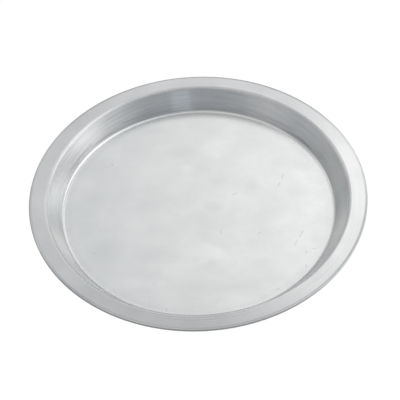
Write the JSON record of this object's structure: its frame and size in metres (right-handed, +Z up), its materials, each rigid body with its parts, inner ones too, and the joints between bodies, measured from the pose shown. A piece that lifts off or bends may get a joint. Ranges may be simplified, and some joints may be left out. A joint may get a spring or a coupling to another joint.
{
  "type": "pie tin",
  "caption": "Shallow round aluminium pie tin with a flat base, a smooth wall leaning outwards and a wide, slightly drooping rim with a rounded edge.",
  "frame": {"origin": "centre of the base's underside, on the surface that the tin stands on", "axes": "+Z up, along the tin's axis; +Y away from the viewer of the picture; +X to the right"},
  "size_m": [0.229, 0.229, 0.0167],
  "materials": {
    "aluminium": "satin bare metal, with fine turned lines round the wall and a cloudy, lightly marked base"
  },
  "bodies": {
    "root": {"pie_tin": "aluminium"}
  },
  "joints": []
}
